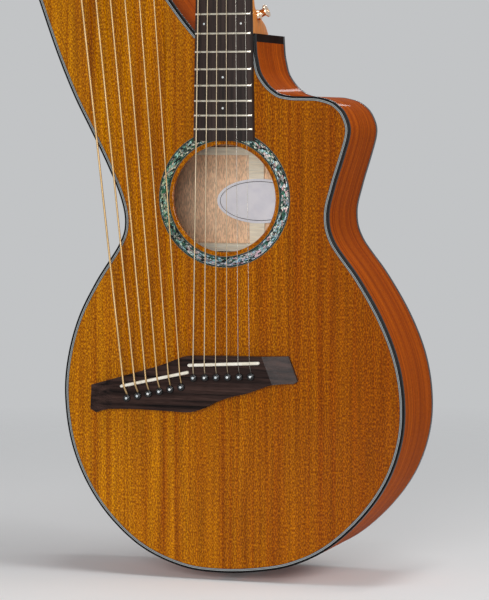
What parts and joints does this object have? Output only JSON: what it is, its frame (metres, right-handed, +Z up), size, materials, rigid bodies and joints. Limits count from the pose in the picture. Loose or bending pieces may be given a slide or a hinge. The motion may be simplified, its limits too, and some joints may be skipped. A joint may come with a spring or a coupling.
{
  "type": "harp guitar",
  "caption": "Cutaway acoustic harp guitar with a hollow bass arm, fretted neck, sub-bass strings, twin-saddle pin bridge and open worm-geared tuning machines.",
  "frame": {"origin": "front edge of the main nut, on the centreline of the neck, in the plane of the soundboard: the place where a wall hanger's yoke takes the neck under the head", "axes": "+Z up the neck, +X towards the treble side, +Y from the soundboard to the back"},
  "size_m": [0.4017, 0.1337, 1.0792],
  "materials": {
    "top_wood": "gloss lacquer over figured reddish gold wood",
    "back_wood": "gloss lacquer",
    "side_wood": "gloss lacquer",
    "neck_wood": "satin lacquer",
    "brace_wood": "bare sanded wood",
    "fretboard_wood": "oiled",
    "bridge_wood": "oiled, dark streaks",
    "binding": "polished",
    "purfling": "polished",
    "pearl": "polished shell mosaic",
    "bone": "polished",
    "pin_plastic": "polished",
    "fret_metal": "polished",
    "gold_metal": "polished gold plate",
    "jack_metal": "polished",
    "wound_string": "wound bronze",
    "plain_string": "drawn steel wire"
  },
  "bodies": {
    "body": {"soundboard": "top_wood", "back_plate": "back_wood", "bass_rib": "side_wood", "treble_rib": "side_wood", "top_binding": "binding", "back_binding": "binding", "rosette": "pearl", "top_bracing": "brace_wood", "back_bracing": "brace_wood", "tail_block": "brace_wood", "end_jack": "jack_metal", "neck": "neck_wood", "fretboard": "fretboard_wood", "main_nut": "bone", "bridge": "bridge_wood", "main_saddle": "bone", "bass_saddle": "bone", "bass_headstock": "neck_wood", "bass_nut": "bone", "strap_button": "gold_metal", "main_treble_plate": "gold_metal", "main_bass_plate": "gold_metal", "bass_treble_plate": "gold_metal", "bass_bass_plate": "gold_metal", "main_string_6": "wound_string", "main_string_5": "wound_string", "main_string_4": "wound_string", "main_string_3": "wound_string", "main_string_2": "plain_string", "main_string_1": "plain_string", "bass_string_6": "wound_string", "bass_string_5": "wound_string", "bass_string_4": "wound_string", "bass_string_3": "wound_string", "bass_string_2": "wound_string", "bass_string_1": "wound_string"},
    "main_post_1": {"main_post_1": "gold_metal"},
    "main_knob_1": {"main_knob_1": "gold_metal"},
    "main_post_2": {"main_post_2": "gold_metal"},
    "main_knob_2": {"main_knob_2": "gold_metal"},
    "main_post_3": {"main_post_3": "gold_metal"},
    "main_knob_3": {"main_knob_3": "gold_metal"},
    "main_post_6": {"main_post_6": "gold_metal"},
    "main_knob_6": {"main_knob_6": "gold_metal"},
    "main_post_5": {"main_post_5": "gold_metal"},
    "main_knob_5": {"main_knob_5": "gold_metal"},
    "main_post_4": {"main_post_4": "gold_metal"},
    "main_knob_4": {"main_knob_4": "gold_metal"},
    "bass_post_1": {"bass_post_1": "gold_metal"},
    "bass_knob_1": {"bass_knob_1": "gold_metal"},
    "bass_post_2": {"bass_post_2": "gold_metal"},
    "bass_knob_2": {"bass_knob_2": "gold_metal"},
    "bass_post_3": {"bass_post_3": "gold_metal"},
    "bass_knob_3": {"bass_knob_3": "gold_metal"},
    "bass_post_6": {"bass_post_6": "gold_metal"},
    "bass_knob_6": {"bass_knob_6": "gold_metal"},
    "bass_post_5": {"bass_post_5": "gold_metal"},
    "bass_knob_5": {"bass_knob_5": "gold_metal"},
    "bass_post_4": {"bass_post_4": "gold_metal"},
    "bass_knob_4": {"bass_knob_4": "gold_metal"}
  },
  "joints": [
    {"name": "main_post_1_turn", "type": "hinge", "parent": "body", "child": "main_post_1", "pos_m": [0.0225, 0.0099, 0.04287], "axis": [0, 0.9744, -0.225], "continuous": true},
    {"name": "main_knob_1_turn", "type": "hinge", "parent": "body", "child": "main_knob_1", "pos_m": [0.0225, 0.02614, 0.03169], "axis": [1, 0, 0], "continuous": true},
    {"name": "main_post_2_turn", "type": "hinge", "parent": "body", "child": "main_post_2", "pos_m": [0.0225, 0.018, 0.07795], "axis": [0, 0.9744, -0.225], "continuous": true},
    {"name": "main_knob_2_turn", "type": "hinge", "parent": "body", "child": "main_knob_2", "pos_m": [0.0225, 0.03424, 0.06677], "axis": [1, 0, 0], "continuous": true},
    {"name": "main_post_3_turn", "type": "hinge", "parent": "body", "child": "main_post_3", "pos_m": [0.0225, 0.02609, 0.11303], "axis": [0, 0.9744, -0.225], "continuous": true},
    {"name": "main_knob_3_turn", "type": "hinge", "parent": "body", "child": "main_knob_3", "pos_m": [0.0225, 0.04233, 0.10185], "axis": [1, 0, 0], "continuous": true},
    {"name": "main_post_6_turn", "type": "hinge", "parent": "body", "child": "main_post_6", "pos_m": [-0.0225, 0.0099, 0.04287], "axis": [0, 0.9744, -0.225], "continuous": true},
    {"name": "main_knob_6_turn", "type": "hinge", "parent": "body", "child": "main_knob_6", "pos_m": [-0.0225, 0.02614, 0.03169], "axis": [-1, 0, 0], "continuous": true},
    {"name": "main_post_5_turn", "type": "hinge", "parent": "body", "child": "main_post_5", "pos_m": [-0.0225, 0.018, 0.07795], "axis": [0, 0.9744, -0.225], "continuous": true},
    {"name": "main_knob_5_turn", "type": "hinge", "parent": "body", "child": "main_knob_5", "pos_m": [-0.0225, 0.03424, 0.06677], "axis": [-1, 0, 0], "continuous": true},
    {"name": "main_post_4_turn", "type": "hinge", "parent": "body", "child": "main_post_4", "pos_m": [-0.0225, 0.02609, 0.11303], "axis": [0, 0.9744, -0.225], "continuous": true},
    {"name": "main_knob_4_turn", "type": "hinge", "parent": "body", "child": "main_knob_4", "pos_m": [-0.0225, 0.04233, 0.10185], "axis": [-1, 0, 0], "continuous": true},
    {"name": "bass_post_1_turn", "type": "hinge", "parent": "body", "child": "bass_post_1", "pos_m": [-0.09849, 0.0063, 0.14207], "axis": [0, 1, 0], "continuous": true},
    {"name": "bass_knob_1_turn", "type": "hinge", "parent": "body", "child": "bass_knob_1", "pos_m": [-0.09674, 0.02564, 0.13504], "axis": [0.9703, 0, 0.2419], "continuous": true},
    {"name": "bass_post_2_turn", "type": "hinge", "parent": "body", "child": "bass_post_2", "pos_m": [-0.1072, 0.0063, 0.177], "axis": [0, 1, 0], "continuous": true},
    {"name": "bass_knob_2_turn", "type": "hinge", "parent": "body", "child": "bass_knob_2", "pos_m": [-0.10545, 0.02564, 0.16997], "axis": [0.9703, 0, 0.2419], "continuous": true},
    {"name": "bass_post_3_turn", "type": "hinge", "parent": "body", "child": "bass_post_3", "pos_m": [-0.11591, 0.0063, 0.21193], "axis": [0, 1, 0], "continuous": true},
    {"name": "bass_knob_3_turn", "type": "hinge", "parent": "body", "child": "bass_knob_3", "pos_m": [-0.11416, 0.02564, 0.20491], "axis": [0.9703, 0, 0.2419], "continuous": true},
    {"name": "bass_post_6_turn", "type": "hinge", "parent": "body", "child": "bass_post_6", "pos_m": [-0.18671, 0.0063, 0.14207], "axis": [0, 1, 0], "continuous": true},
    {"name": "bass_knob_6_turn", "type": "hinge", "parent": "body", "child": "bass_knob_6", "pos_m": [-0.18846, 0.02564, 0.13504], "axis": [-0.9703, 0, 0.2419], "continuous": true},
    {"name": "bass_post_5_turn", "type": "hinge", "parent": "body", "child": "bass_post_5", "pos_m": [-0.178, 0.0063, 0.177], "axis": [0, 1, 0], "continuous": true},
    {"name": "bass_knob_5_turn", "type": "hinge", "parent": "body", "child": "bass_knob_5", "pos_m": [-0.17975, 0.02564, 0.16997], "axis": [-0.9703, 0, 0.2419], "continuous": true},
    {"name": "bass_post_4_turn", "type": "hinge", "parent": "body", "child": "bass_post_4", "pos_m": [-0.16929, 0.0063, 0.21193], "axis": [0, 1, 0], "continuous": true},
    {"name": "bass_knob_4_turn", "type": "hinge", "parent": "body", "child": "bass_knob_4", "pos_m": [-0.17104, 0.02564, 0.20491], "axis": [-0.9703, 0, 0.2419], "continuous": true}
  ],
  "couplings": [
    {"joint": "main_post_1_turn", "follows": "main_knob_1_turn", "ratio": 0.071429},
    {"joint": "main_post_2_turn", "follows": "main_knob_2_turn", "ratio": 0.071429},
    {"joint": "main_post_3_turn", "follows": "main_knob_3_turn", "ratio": 0.071429},
    {"joint": "main_post_6_turn", "follows": "main_knob_6_turn", "ratio": -0.071429},
    {"joint": "main_post_5_turn", "follows": "main_knob_5_turn", "ratio": -0.071429},
    {"joint": "main_post_4_turn", "follows": "main_knob_4_turn", "ratio": -0.071429},
    {"joint": "bass_post_1_turn", "follows": "bass_knob_1_turn", "ratio": 0.071429},
    {"joint": "bass_post_2_turn", "follows": "bass_knob_2_turn", "ratio": 0.071429},
    {"joint": "bass_post_3_turn", "follows": "bass_knob_3_turn", "ratio": 0.071429},
    {"joint": "bass_post_6_turn", "follows": "bass_knob_6_turn", "ratio": -0.071429},
    {"joint": "bass_post_5_turn", "follows": "bass_knob_5_turn", "ratio": -0.071429},
    {"joint": "bass_post_4_turn", "follows": "bass_knob_4_turn", "ratio": -0.071429}
  ]
}
